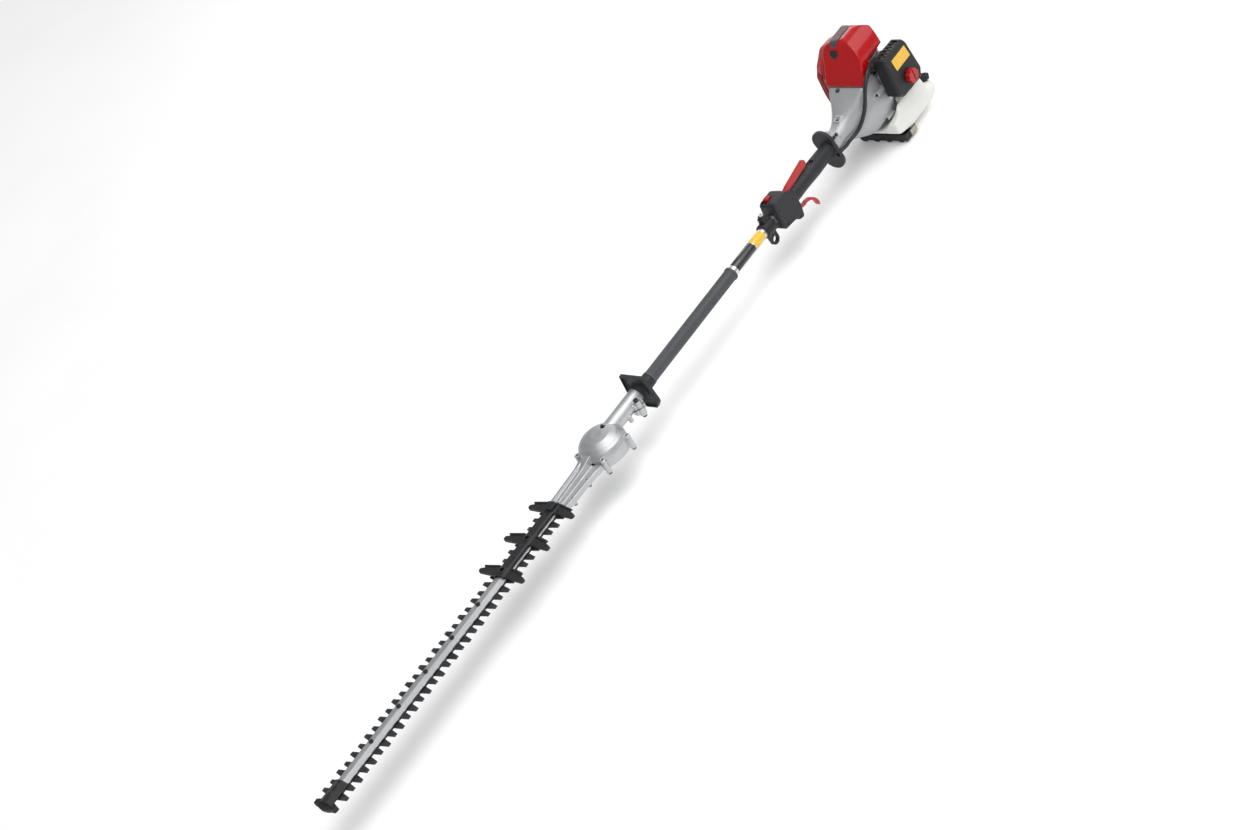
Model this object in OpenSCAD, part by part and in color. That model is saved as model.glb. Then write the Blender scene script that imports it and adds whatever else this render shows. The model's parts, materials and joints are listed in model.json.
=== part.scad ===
// Petrol pole hedge trimmer. +X runs along the pole towards the blade tip, +Y is the operator's
// left, +Z is up. The origin is on the ground, under the middle of the engine stand.

/* [Pole] */
// Outer diameter of the pole tube
tube_od = 24; // [23:0.5:24]
// Wall of the pole tube
tube_wall = 2; // [1.5:0.25:2]
// Height of the pole axis above the ground
axis_h = 108; // [108:1:112]
// Rear end of the tube, in the clutch housing collar
tube_x0 = 128; // [126:1:134]
// Front end of the tube, in the gearcase clamp
tube_x1 = 934; // [930:1:936]
// Diameter of the drive shaft
shaft_d = 7; // [6:0.5:7]

/* [Sleeve and guards] */
// Outer diameter of the rubber front sleeve
sleeve_od = 28; // [27:0.5:32]
// Rear end of the sleeve
sleeve_x0 = 556; // [550:1:565]
// Front end of the sleeve
sleeve_x1 = 857; // [840:1:870]
// Position of the hand guard plate
hand_guard_x = 886; // [882:1:888]

/* [Cutter] */
// Half width of a blade over its teeth
tooth_reach = 33.7; // [30:0.1:35]
// Thickness of a blade
blade_t = 2.2; // [1.8:0.1:2.2]
// Position of the first tooth
first_tooth_x = 1200; // [1198:1:1202]
// Number of tooth stations, upper and lower blade in turn
tooth_stations = 34; // [30:1:34]
// Throw of each eccentric, half of a blade's stroke
throw = 10; // [8:0.5:10]

/* [Gearcase] */
// Outer radius of the gear dome
dome_r = 50; // [50:0.5:52]

/* [Engine] */
// Outer radius of the fan housing
fan_housing_r = 58; // [57:0.5:59]
// Radius of the flywheel fan
fan_r = 50; // [46:0.5:51]
// Inner radius of the clutch drum
drum_r = 27; // [26:0.5:28]
// Cylinder bore radius
bore_r = 16; // [15:0.5:17]
// Height of the top cover above the pole axis
cover_top = 152; // [148:1:155]

/* [Hidden] */
$fn = 48;

tube_r = tube_od / 2;
shaft_r = shaft_d / 2;
sleeve_r = sleeve_od / 2;
fit = 0.05;                                // clearance of a located or running fit
eps = 0.01;

// Blade stack, measured from the pole axis
tooth_pitch = 40;                          // between teeth of one blade
bolt_pitch = 80;
blade_top = -15.0;
upper_z0 = blade_top - blade_t;
lower_z1 = upper_z0 - 0.2;
lower_z0 = lower_z1 - blade_t;
blade_half = 13;
blade_end_x = first_tooth_x + (tooth_stations - 1) * tooth_pitch / 2 + 8;
disc_r = 14;
yoke_gap = 2.4;                            // play of the disc along the stroke
bar_z0 = -14.7;
bar_top = -9;
bar_x0 = 1183;
bar_x1 = blade_end_x + throw;
bolt_xs = [for (i = [0 : 6]) first_tooth_x + 70 + i * bolt_pitch];
bolt_r = 3;

// Gearcase levels
gear_x = 1024;                             // vertical axis of the eccentric gear
gear_teeth = 40;
pinion_teeth = 10;
seam_z = -10;
case_z0 = -28;
nose_x1 = 1178.5;
gear_z0 = -13.5;
gear_z1 = -9.5;
boss_angles = [40, 120, -40, -120];
boss_ring_r = 53;

// Handle stations
grip_r = 17.5;
grip_x0 = 184;
house_x0 = 330;
trigger_pin_at = [340, -21];
lockout_pin_at = [336, 20.5];
pin_r = 2;

// Route of the throttle conduit from the handle flange to the carburettor
conduit_r = 4.2;
conduit_route = [[178, 21.8, -12.4], [168, 21.8, -12.4], [160, 22.1, -13], [150, 22.5, -14],
    [138, 28, -9], [121, 34.5, -5], [109, 41, 3], [94, 48, 19], [79, 49.5, 34], [74, 54, 49],
    [68, 58, 65], [53, 58, 79], [34, 56, 89], [22, 54, 83.5], [13, 51, 76.5], [7, 50, 74],
    [2.6, 50, 74]];

// Engine stations
collar_r = 20.5;
fan_x0 = 14;
fan_x1 = 62;
case_r = 46;
cyl_x = -12;
housing_boss_angles = [28, -35, 145, 215];
// Seat of the cover screw in the front of the housing
cover_screw_at = [fan_x1 + 2, -17, 62];
cover_screw_r = 4.2;
shoe_pin = [18, 8];                        // of a clutch shoe, across and out from the axis

// A cylinder along X that starts at x
module xcyl(x, length, r) {
    translate([x, 0, 0]) rotate([0, 90, 0]) cylinder(h = length, r = r);
}

// A ring along X
module xring(x, length, r, bore) {
    difference() {
        xcyl(x, length, r);
        xcyl(x - 1, length + 2, bore);
    }
}

// A cylinder along Y that starts at y
module ycyl(y, length, r) {
    translate([0, y, 0]) rotate([-90, 0, 0]) cylinder(h = length, r = r);
}

// Turns a profile of [along x, radius] about the pole axis
module xturn(profile) {
    rotate([0, 90, 0]) rotate_extrude() polygon([for (p = profile) [p[1], p[0]]]);
}

// An outline drawn in X and Z, as thick as y1 - y0
module xz_plate(y0, y1) {
    translate([0, y1, 0]) rotate([90, 0, 0]) linear_extrude(y1 - y0) children();
}

// An outline drawn in Y and Z, from x0 to x1
module yz_plate(x0, x1) {
    translate([x0, 0, 0]) rotate([90, 0, 90]) linear_extrude(x1 - x0) children();
}

// A box between two corners
module block(a, b) {
    translate(a) cube(b - a);
}

// Points of an arc
function arc(c, r, a0, a1, n) =
    [for (i = [0 : n]) c + r * [cos(a0 + (a1 - a0) * i / n), sin(a0 + (a1 - a0) * i / n)]];

// A rectangle from a to b with round corners
function round_rect(a, b, r, n = 5) = concat(
    arc([b[0] - r, b[1] - r], r, 0, 90, n), arc([a[0] + r, b[1] - r], r, 90, 180, n),
    arc([a[0] + r, a[1] + r], r, 180, 270, n), arc([b[0] - r, a[1] + r], r, 270, 360, n));

// ---- Cutter ----

module tooth_outline(side) {
    root = blade_half - 2;
    polygon([[-8 * side, side * root], [8 * side, side * root],
             [3.6 * side, side * tooth_reach], [-3.6 * side, side * tooth_reach]]);
}

module blade_outline(phase) {
    yoke = [disc_r + 8, 2 * disc_r + 3];
    difference() {
        union() {
            translate([gear_x, 0]) square([2 * yoke[0], 2 * yoke[1]], center = true);
            translate([gear_x, -blade_half]) square([blade_end_x - gear_x, 2 * blade_half]);
            for (k = [0 : tooth_stations - 1])
                translate([first_tooth_x + k * tooth_pitch / 2, 0])
                    tooth_outline((k + phase) % 2 == 0 ? 1 : -1);
        }
        translate([gear_x, 0])
            square([2 * (disc_r + yoke_gap), 2 * (disc_r + throw + 0.8)], center = true);
        for (x = bolt_xs) {
            translate([x, 0]) square([2 * throw + 1, 2 * bolt_r + 0.6], center = true);
            for (s = [-1, 1]) translate([x + s * (throw + 0.5), 0]) circle(r = bolt_r + 0.3);
        }
    }
}

module upper_blade() {
    color("dimgray") translate([0, 0, axis_h + upper_z0])
        linear_extrude(blade_t) blade_outline(0);
}

module lower_blade() {
    color("dimgray") translate([0, 0, axis_h + lower_z0])
        linear_extrude(blade_t) blade_outline(1);
}

module blade_bar() {
    color("silver") translate([0, 0, axis_h]) difference() {
        yz_plate(bar_x0, bar_x1) polygon([[-13.5, bar_z0], [13.5, bar_z0], [13.5, -13],
            [3, bar_top], [-3, bar_top], [-13.5, -12.4]]);
        for (x = bolt_xs) translate([x, 0, -30]) cylinder(h = 40, r = bolt_r + fit);
    }
}

module bar_bolts() {
    washer_r = 9;
    color("dimgray") translate([0, 0, axis_h]) for (x = bolt_xs) translate([x, 0, 0]) {
        translate([0, 0, bar_top]) cylinder(h = 3.2, r = 4.4);
        translate([0, 0, -25]) cylinder(h = 25 + bar_top + 1, r = bolt_r);
        translate([0, 0, lower_z0 - 1.5]) cylinder(h = 1.2, r = washer_r);
        translate([0, 0, -24.6]) cylinder(h = 3.5, r = 5.2, $fn = 6);
    }
}

module tip_guard() {
    bumper_x0 = bar_x1 + 3;
    bumper_half = 29;
    clip_x0 = bar_x1 - 42;
    color("#222222") translate([0, 0, axis_h]) {
        difference() {
            union() {
                yz_plate(clip_x0, bumper_x0 + 4) polygon([[-16.5, -22], [16.5, -22],
                    [16.5, -12], [4, -6.6], [-4, -6.6], [-16.5, -11]]);
                translate([0, 0, -21.5]) linear_extrude(9) polygon(concat(
                    [[bumper_x0 - 6, -12], [bumper_x0, -bumper_half]],
                    arc([bumper_x0 + 6, -bumper_half + 5], 5, 270, 330, 4),
                    arc([bumper_x0 - 30, 0], 45, -24, 24, 10),
                    arc([bumper_x0 + 6, bumper_half - 5], 5, 30, 90, 4),
                    [[bumper_x0, bumper_half], [bumper_x0 - 6, 12]]));
            }
            block([clip_x0 - 1, -30, -23], [bar_x1 + 1.5, 30, blade_top + 0.3]);
            yz_plate(clip_x0 - 1, bar_x1 + fit) polygon([[-13.55, bar_z0 - 1],
                [13.55, bar_z0 - 1], [13.55, -12.95], [3, bar_top + fit], [-3, bar_top + fit],
                [-13.55, -12.35]]);
        }
        for (x = [bar_x1 - 30, bar_x1 - 12]) translate([x, 0, -7]) cylinder(h = 1.6, r = 3.4);
    }
}

// One cross wing, swept towards the tip, with a rimmed round end
module wing(x) {
    tip = [14, 60];
    for (s = [-1, 1]) {
        translate([x, 0, -14]) linear_extrude(7) polygon(concat(
            [[-11, 0], [-11, s * 15]],
            [for (p = arc([tip[0] - 7, tip[1] - 7], 7, 120, 30, 5)) [p[0], s * p[1]]],
            [[12, s * 17], [12, 0]]));
        translate([x, 0, -7 - eps]) linear_extrude(2.5) polygon([[-11, s * 15],
            [-3.5, s * (tip[1] - 7)], [-0.5, s * (tip[1] - 9)], [-7, s * 15]]);
    }
}

module wing_guard() {
    wing_xs = [for (i = [0 : 2]) first_tooth_x - 10 + i * bolt_pitch];
    color("#222222") translate([0, 0, axis_h]) difference() {
        union() {
            yz_plate(wing_xs[0] - 7, wing_xs[2] + 14) polygon([[-17, -14.4], [12, -14.4],
                [12, -6], [9, -3.4], [-9, -3.4], [-17, -10]]);
            for (x = wing_xs) wing(x);
            block([wing_xs[0] - 7, -10, -6], [wing_xs[0] + 12, 10, 3]);
            for (x = [wing_xs[1], wing_xs[2]]) block([x - 5, -8, -6], [x + 7, 8, -1]);
        }
        yz_plate(wing_xs[0] - 20, wing_xs[2] + 20) polygon([[-13.6, -15], [13.6, -15],
            [13.6, -11], [5, -5.5], [-5, -5.5], [-13.6, -11]]);
        for (x = bolt_xs) translate([x, 0, -8]) cylinder(h = 20, r = 5);
    }
}

// ---- Gearcase ----

module nose_outline() {
    polygon([[gear_x + 30, -36], [gear_x + 66, -28], [nose_x1, -24.3], [nose_x1, 24.3],
             [gear_x + 66, 28], [gear_x + 30, 36]]);
}

// Dome of the gearcase, turned about the gear axis; grow is added to every radius
module dome(grow) {
    translate([gear_x, 0, 0]) rotate_extrude() polygon([[0, seam_z], [dome_r + grow, seam_z],
        [dome_r + grow, -6 + grow], [46 + grow, 4 + grow], [38 + grow, 12 + grow],
        [26 + grow, 18 + grow], [12 + grow, 20.5 + grow], [0, 20.5 + grow]]);
}

module casting_bosses(z0, z1, grow = 0) {
    for (a = boss_angles) translate([gear_x, 0, 0]) rotate([0, 0, a])
        translate([boss_ring_r, 0, z0]) cylinder(h = z1 - z0, r = 6 + grow);
}

module boss_holes() {
    for (a = boss_angles) translate([gear_x, 0, 0]) rotate([0, 0, a])
        translate([boss_ring_r, 0, -45]) cylinder(h = 60, r = 2.5 + fit);
    for (x = [gear_x + 84, gear_x + 132], s = [-1, 1])
        translate([x, s * 19.5, -45]) cylinder(h = 60, r = 2 + fit);
}

module gearcase_upper() {
    clamp_x0 = 900;
    color("lightgray") translate([0, 0, axis_h]) {
        gearcase_upper_shell(clamp_x0);
        // Boss of the upper bearing
        translate([gear_x, 0, 4]) difference() {
            cylinder(h = 15, r = 13);
            translate([0, 0, -1]) cylinder(h = 9, r = 9 + fit);
        }
    }
}

module gearcase_upper_shell(clamp_x0) {
    difference() {
        union() {
            dome(0);
            casting_bosses(seam_z, -2);
            xcyl(clamp_x0, gear_x - 20 - clamp_x0, 17);
            translate([922, 21, -26]) cylinder(h = 34, r = 7.5);
            block([907, 8, -20], [934, 21, 4]);
            translate([950, 14, -20]) cylinder(h = 16, r = 4.5);
            translate([0, 0, bar_z0]) linear_extrude(2.6) nose_outline();
            xz_plate(-9, 9) polygon([[gear_x + 30, -9.5], [gear_x + 30, 14], [gear_x + 44, 6],
                [gear_x + 70, 1], [nose_x1, -3], [nose_x1, bar_z0 + 2], [gear_x + 51, bar_z0 + 2],
                [gear_x + 51, -9.5]]);
        }
        dome(-3.5);
        translate([gear_x, 0, -30]) cylinder(h = 31, r = dome_r - 3.5);
        translate([gear_x, 0, -30]) cylinder(h = 30 + seam_z, r = dome_r + 0.4);
        casting_bosses(-40, -11.3, 0.3);
        xz_plate(-5, 5) polygon([[gear_x + 52, 10], [gear_x + 60, 2], [gear_x + 74, -3],
            [nose_x1 + 1, -6.5], [nose_x1 + 1, 10]]);
        xcyl(clamp_x0 - 1, tube_x1 - clamp_x0 + 1.5, tube_r + fit);
        xcyl(tube_x1, gear_x - 18 - tube_x1, 11);
        xcyl(952, 12, 12 + fit);
        block([clamp_x0 - 1, 8, -9], [946, 32, -6.5]);
        translate([922, 21, -30]) cylinder(h = 50, r = 3 + fit);
        translate([1003, 0, 6]) cylinder(h = 20, r = 3 + fit);
        translate([1003, 0, 14]) cylinder(h = 20, r = 5.5);
        boss_holes();
    }
}

module gearcase_lower() {
    color("lightgray") translate([0, 0, axis_h]) difference() {
        union() {
            translate([gear_x, 0, case_z0]) cylinder(h = seam_z - case_z0, r = dome_r);
            translate([gear_x, 0, case_z0 - 6]) cylinder(h = 6 + eps, r = 16);
            casting_bosses(-35, seam_z - 0.3);
            difference() {
                translate([0, 0, -24.5]) linear_extrude(24.5 + bar_z0) nose_outline();
                translate([gear_x, 0, -30]) cylinder(h = 30, r = dome_r - 2);
            }
            for (x = [gear_x + 84, gear_x + 132], s = [-1, 1])
                translate([x, s * 19.5, -28]) cylinder(h = 5, r = 4.6);
        }
        translate([gear_x, 0, -24.5]) cylinder(h = 20, r = dome_r - 3.5);
        block([gear_x + 20, -blade_half - 0.8, lower_z0 - 0.6], [nose_x1 + 1, blade_half + 0.8, -5]);
        translate([gear_x, 0, case_z0 - 3]) cylinder(h = 20, r = 9 + fit);
        boss_holes();
    }
}

module gearcase_bolts() {
    color("#333333") translate([0, 0, axis_h]) {
        for (a = boss_angles) translate([gear_x, 0, 0]) rotate([0, 0, a])
            translate([boss_ring_r, 0, 0]) {
                translate([0, 0, -37]) cylinder(h = 34, r = 2.5);
                translate([0, 0, -38.5]) cylinder(h = 3.5, r = 4.4);
            }
        for (x = [gear_x + 84, gear_x + 132], s = [-1, 1]) translate([x, s * 19.5, 0]) {
            translate([0, 0, -29]) cylinder(h = 16, r = 2);
            translate([0, 0, -31]) cylinder(h = 3, r = 3.6);
        }
        // Clamp bolt and nut of the tube socket
        translate([922, 21, 0]) {
            translate([0, 0, -30]) cylinder(h = 41, r = 3);
            translate([0, 0, 8]) cylinder(h = 5, r = 4.8);
            translate([0, 0, -31]) cylinder(h = 5, r = 5.2, $fn = 6);
        }
    }
}

module gearcase_bearings() {
    color("silver") translate([0, 0, axis_h]) {
        xring(952 + fit, 12 - 2 * fit, 12, 5 + fit);
        for (z = [case_z0 - 3 + fit, 5 + fit]) translate([gear_x, 0, z]) difference() {
            cylinder(h = 7 - 2 * fit, r = 9);
            translate([0, 0, -1]) cylinder(h = 9, r = 5 + fit);
        }
    }
}

module eccentric_gear() {
    tooth_w = 2;
    color("silver") translate([gear_x, 0, axis_h]) {
        translate([0, 0, gear_z0]) cylinder(h = gear_z1 - gear_z0 - 2, r = 37);
        for (i = [0 : gear_teeth - 1]) rotate([0, 0, (i + 0.5) * 360 / gear_teeth])
            block([31, -tooth_w / 2, gear_z1 - 2 - eps], [36.8, tooth_w / 2, gear_z1 + 1.3]);
        translate([0, 0, gear_z0 - 1.3]) cylinder(h = 5.3, r = 10);
        translate([0, throw, upper_z0 - 0.1]) cylinder(h = gear_z0 - 1.3 - upper_z0 + 0.1, r = disc_r);
        translate([0, -throw, lower_z0 + 0.1]) cylinder(h = upper_z0 - 0.1 - lower_z0 - 0.1, r = disc_r);
        translate([0, 0, case_z0 - 2.5]) cylinder(h = 42, r = 5);
    }
}

module pinion() {
    pinion_x0 = gear_x - 36;
    tip_r = 9.6;
    color("silver") translate([0, 0, axis_h]) difference() {
        union() {
            xcyl(946, pinion_x0 - 946 + 3, 5);
            xcyl(pinion_x0, 3.5, 7);
            for (i = [0 : pinion_teeth - 1]) rotate([i * 360 / pinion_teeth, 0, 0])
                block([pinion_x0, -0.8, -tip_r], [pinion_x0 + 3.5, 0.8, -6]);
        }
        xcyl(940, 30, shaft_r + fit);
    }
}

module grease_fitting() {
    color("#555555") translate([1003, 0, axis_h]) {
        translate([0, 0, 9]) cylinder(h = 6, r = 3);
        translate([0, 0, 14]) cylinder(h = 3, r = 4.6, $fn = 6);
        translate([0, 0, 17]) cylinder(h = 3, r = 2.4);
        translate([0, 0, 20]) cylinder(h = 2.2, r = 3);
    }
}

// ---- Pole ----

module drive_shaft() {
    color("silver") translate([0, 0, axis_h]) xcyl(80, 968 - 80, shaft_r);
}

module shaft_bushes() {
    inner = tube_r - tube_wall;
    color("#333333") translate([0, 0, axis_h]) for (i = [0 : 4])
        xring(190 + i * 170, 22, inner - fit, shaft_r + fit);
}

module main_tube() {
    color("silver") translate([0, 0, axis_h]) xring(tube_x0, tube_x1 - tube_x0, tube_r, tube_r - tube_wall);
}

// A thin sticker that covers part of the tube's upper half
module sticker(x0, x1, a0, a1) {
    translate([x0, 0, 0]) rotate([0, 90, 0]) rotate([0, 0, a0])
        rotate_extrude(angle = a1 - a0) translate([tube_r, 0]) square([0.25, x1 - x0]);
}

module label_yellow() {
    color("gold") translate([0, 0, axis_h]) sticker(444, 478, 75, 235);
}

module label_black() {
    color("#222222") translate([0, 0, axis_h]) sticker(480, 546, 75, 235);
}

module front_sleeve() {
    color("#55585a") translate([0, 0, axis_h]) difference() {
        union() {
            xcyl(sleeve_x0, sleeve_x1 - sleeve_x0, sleeve_r);
            xcyl(sleeve_x0, 5, sleeve_r + 1.2);
            xcyl(sleeve_x1 - 5, 5, sleeve_r + 1.2);
            rotate([-25, 0, 0]) block([sleeve_x0 + 2, -0.8, 0], [sleeve_x1 - 2, 0.8, sleeve_r + 0.6]);
        }
        xcyl(sleeve_x0 - 1, sleeve_x1 - sleeve_x0 + 2, tube_r + fit);
    }
}

module hand_guard() {
    outline = [[-28, 40], [36, 42], [42, -18], [40, -24], [30, -36], [-8, -38], [-34, -12]];
    color("#3a3d3e") translate([0, 0, axis_h]) difference() {
        union() {
            yz_plate(hand_guard_x, hand_guard_x + 4) polygon(outline);
            difference() {
                yz_plate(hand_guard_x, hand_guard_x + 9) polygon(outline);
                yz_plate(hand_guard_x - 1, hand_guard_x + 10) offset(delta = -3) polygon(outline);
            }
            xturn([[hand_guard_x, 0], [hand_guard_x, 24], [hand_guard_x + 4, 24],
                [hand_guard_x + 8, 19], [hand_guard_x + 13.5, 18], [hand_guard_x + 13.5, 0]]);
            xcyl(sleeve_x1 + 1, hand_guard_x - sleeve_x1, 15.5);
        }
        xcyl(sleeve_x1 - 10, 90, tube_r + fit);
    }
}

module harness_bracket() {
    eye = [418, -33];
    color("#222222") translate([0, 0, axis_h]) difference() {
        union() {
            xcyl(406, 30, 17);
            block([410, -8, 0], [428, 8, 27]);
            translate([419, 0, 27]) cylinder(h = 3, r = 9);
            xz_plate(-4, 4) polygon(concat([[408, -10]], arc(eye, 12, 180, 360, 14), [[432, -10]]));
        }
        xcyl(400, 50, tube_r + fit);
        translate([eye[0], 0, eye[1]]) ycyl(-10, 20, 7);
        translate([419, 0, 10]) cylinder(h = 30, r = 3 + fit);
        translate([400, -1.2, 10]) cube([50, 2.4, 30]);
    }
}

module bracket_screw() {
    color("silver") translate([419, 0, axis_h]) difference() {
        union() {
            translate([0, 0, 14]) cylinder(h = 18, r = 3);
            translate([0, 0, 30]) cylinder(h = 4.5, r = 5.2);
        }
        translate([0, 0, 32]) cylinder(h = 5, r = 2.3, $fn = 6);
    }
}

// ---- Rear handle ----

module housing_outline() {
    polygon(concat([[house_x0, 18], [house_x0 + 14, 30]], arc([356, 29], 8, 120, 90, 3),
        arc([388, 28], 9, 90, 20, 4), arc([390, -18], 9, -10, -80, 4),
        [[360, -31], [350, -40]], arc([340, -36], 6, 300, 180, 5), [[house_x0, -17]]));
}

module handle_body() {
    difference() {
        union() {
            xturn([[grip_x0 - 8, 0], [grip_x0 - 8, 19], [grip_x0 + 10, grip_r], [240, grip_r + 0.8],
                [290, grip_r - 0.6], [house_x0 + 4, grip_r], [house_x0 + 4, 0]]);
            xz_plate(-20, 20) housing_outline();
            xz_plate(-22, 22) offset(delta = -2) housing_outline();
            yz_plate(grip_x0 - 10, grip_x0 - 2) polygon(concat(
                arc([-3, 18], 27, -20, 200, 16), arc([3, -22], 27, 160, 380, 16)));
        }
        xcyl(grip_x0 - 20, 250, tube_r + fit);
        // Slot of the trigger, open at the back and below
        xz_plate(-6.5, 6.5) polygon([[346.5, -13.8], [346.5, -29], [338, -31], [334, -45],
            [300, -45], [300, -18.5], [334, -13.8]]);
        // Slot of the lockout lever, open at the back and above
        xz_plate(-6.5, 6.5) polygon([[341.5, 15.4], [341.5, 26], [334, 30], [300, 40],
            [235, 45], [235, 13.2], [320, 13.2], [330, 15.4]]);
        // Slot of the stop switch
        block([368, -17.5, 31.5], [392, -3.5, 45]);
        translate([trigger_pin_at[0], 0, trigger_pin_at[1]]) ycyl(-16, 32, pin_r + fit);
        translate([lockout_pin_at[0], 0, lockout_pin_at[1]]) ycyl(-16, 32, pin_r + fit);
        for (p = [[388, -18], [392, 20], [348, -34]])
            translate([p[0], 0, p[1]]) {
                ycyl(-16, 45, 1.6 + fit);
                ycyl(18, 10, 3.2);
            }
        // Mouth of the throttle conduit in the flange
        xcyl_at([grip_x0 - 14, conduit_route[0][1], conduit_route[0][2]], 20, conduit_r + 0.3);
    }
}

// A cylinder along X that starts at a point
module xcyl_at(p, length, r) {
    translate(p) rotate([0, 90, 0]) cylinder(h = length, r = r);
}

module handle_left() {
    color("#333537") translate([0, 0, axis_h]) intersection() {
        handle_body();
        block([100, 0, -120], [500, 80, 120]);
    }
}

module handle_right() {
    color("#333537") translate([0, 0, axis_h]) intersection() {
        handle_body();
        block([100, -80, -120], [500, 0, 120]);
    }
}

module handle_screws() {
    color("silver") translate([0, 0, axis_h])
        for (p = [[388, -18], [392, 20], [348, -34]]) translate([p[0], 0, p[1]]) {
            ycyl(-15, 34, 1.6);
            ycyl(18.1, 2.6, 3);
        }
}

module throttle_trigger() {
    pin = [trigger_pin_at[0], trigger_pin_at[1]];
    color("red") translate([0, 0, axis_h]) difference() {
        xz_plate(-5, 5) polygon(concat(arc(pin, 5.2, 60, -70, 6),
            [[326, -35], [314, -39]], arc([302, -66], 27, 80, 172, 9),
            [[273, -69]], arc([301, -66], 32, 178, 78, 9), [[322, -27.5]]));
        translate([pin[0], 0, pin[1]]) ycyl(-10, 20, pin_r + fit);
    }
}

module handle_pins() {
    color("silver") translate([0, 0, axis_h]) for (p = [trigger_pin_at, lockout_pin_at])
        translate([p[0], 0, p[1]]) ycyl(-15.5, 31, pin_r);
}

module lockout_lever() {
    pin = [lockout_pin_at[0], lockout_pin_at[1]];
    color("red") translate([0, 0, axis_h]) difference() {
        xz_plate(-5.5, 5.5) polygon(concat(arc(pin, 4.2, -90, 90, 8), [[326, 27.5]],
            arc([258, 34.2], 3.5, 80, 180, 5), arc([257.5, 26.5], 3, 180, 262, 4),
            [[326, 17.2]]));
        translate([pin[0], 0, pin[1]]) ycyl(-10, 20, pin_r + fit);
    }
}

module stop_switch() {
    color("red") translate([0, 0, axis_h]) {
        block([370, -16.5, 32], [384, -4.5, 40]);
        for (i = [0 : 2]) block([372 + i * 4, -16.5, 40 - eps], [374 + i * 4, -4.5, 41.5]);
    }
}

function unit(v) = v / norm(v);
// A point on a smooth curve through the route, t from 0 to its last index
function curve(p, t) =
    let (n = len(p) - 1, i = min(floor(t), n - 1), u = t - i, a = p[max(i - 1, 0)], b = p[i],
         c = p[i + 1], d = p[min(i + 2, n)])
    0.5 * (2 * b + (c - a) * u + (2 * a - 5 * b + 4 * c - d) * u * u
           + (3 * b - a - 3 * c + d) * u * u * u);

// A tube of radius r swept along points, each ring square to the curve
module sweep(points, r, sides) {
    n = len(points);
    tangents = [for (i = [0 : n - 1]) unit(points[min(i + 1, n - 1)] - points[max(i - 1, 0)])];
    rings = [for (i = [0 : n - 1])
        let (t = tangents[i], a = unit(cross(t, [0, 0, 1])), b = cross(a, t))
        [for (k = [0 : sides - 1])
            points[i] + r * (cos(k * 360 / sides) * a + sin(k * 360 / sides) * b)]];
    polyhedron(
        points = [for (ring = rings) each ring],
        faces = concat([[for (k = [0 : sides - 1]) k]],
            [for (i = [0 : n - 2], k = [0 : sides - 1])
                let (m = (k + 1) % sides) [i * sides + m, i * sides + k,
                    (i + 1) * sides + k, (i + 1) * sides + m]],
            [[for (k = [sides - 1 : -1 : 0]) (n - 1) * sides + k]]));
}

module throttle_conduit() {
    color("#1c1c1c") translate([0, 0, axis_h]) sweep([for (i = [0 : 2 * (len(conduit_route) - 1)])
        curve(conduit_route, i / 2)], conduit_r, 10);
}

// ---- Engine ----

module clutch_housing() {
    wall = 3;
    arch = concat([[-47, -20]], arc([-39, 56], 8, 180, 90, 4), arc([39, 56], 8, 90, 0, 4),
        [[47, -20]]);
    color("#b4b7ba") translate([0, 0, axis_h]) difference() {
        union() {
            xturn([[fan_x0, 0], [fan_x0, fan_housing_r], [fan_x1, fan_housing_r], [80, 52],
                [98, 42], [116, 31], [132, 23.5], [146, 20.5], [149, 20.5], [149, 19.6],
                [150.5, 19.6], [150.5, collar_r], [170, collar_r], [170, 0]]);
            yz_plate(fan_x0, fan_x1) polygon(arch);
            hull() {
                yz_plate(fan_x1 - 1, fan_x1) polygon(arch);
                xcyl(100, 8, 30);
            }
            for (a = housing_boss_angles) rotate([a, 0, 0])
                xcyl_at([fan_x0 + 0.5, fan_housing_r + 2.5, 0], 25.5, 5);
            block([150.5, -14, 12], [170, 14, 25]);
        }
        xcyl(126, 60, tube_r + fit);
        xcyl(110, 20, 8);
        xcyl(90, 40, shaft_r + fit);
        xturn([[fan_x0 - 1, 0], [fan_x0 - 1, fan_housing_r - wall - 0.5],
            [fan_x1 - wall, fan_housing_r - wall - 0.5], [76, 47], [92, 34], [98, 31],
            [98, 0]]);
        // Slit and holes of the tube clamp
        block([148, -1, 10], [172, 1, 30]);
        for (x = [155, 164]) translate([x, 0, 19]) ycyl(-20, 40, 2 + fit);
        // Inspection window with a raised frame
        block([116, -5, 24], [124, 5, 40]);
        // Seat of the cover screw
        xcyl_at(cover_screw_at, 20, cover_screw_r + 0.3);
        // Cooling air inlet at the back of the arch
        block([fan_x0 - 1, -38, 48], [fan_x1 - 14, 38, 70]);
    }
}

module housing_screws() {
    color("#333333") translate([0, 0, axis_h]) {
        for (x = [155, 164]) translate([x, 0, 19]) {
            ycyl(-16, 30.2, 2);
            ycyl(14.1, 3, 3.6);
        }
        translate([fit, 0, 0]) xcyl_at(cover_screw_at, 6, cover_screw_r);
        for (a = housing_boss_angles) rotate([a, 0, 0])
            xcyl_at([fan_x0 + 26.1, fan_housing_r + 3.6, 0], 3, 3.2);
    }
}

module clutch_drum() {
    color("silver") translate([0, 0, axis_h]) difference() {
        union() {
            xcyl(66, 20, drum_r + 2.5);
            xcyl(84, 12, 9);
        }
        xcyl(60, 23.5, drum_r);
        xcyl(50, 60, shaft_r + fit);
    }
}

module clutch_shoes() {
    color("#6b5a45") translate([0, 0, axis_h]) for (a = [0, 180]) rotate([a, 0, 0]) difference() {
        xcyl(67, 15, drum_r - 1);
        xcyl(60, 30, 13);
        block([60, -40, -40], [90, 40, 2]);
        for (s = [-1, 1]) xcyl_at([60, s * shoe_pin[0], shoe_pin[1]], 30, 3.5 + fit);
    }
}

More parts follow.
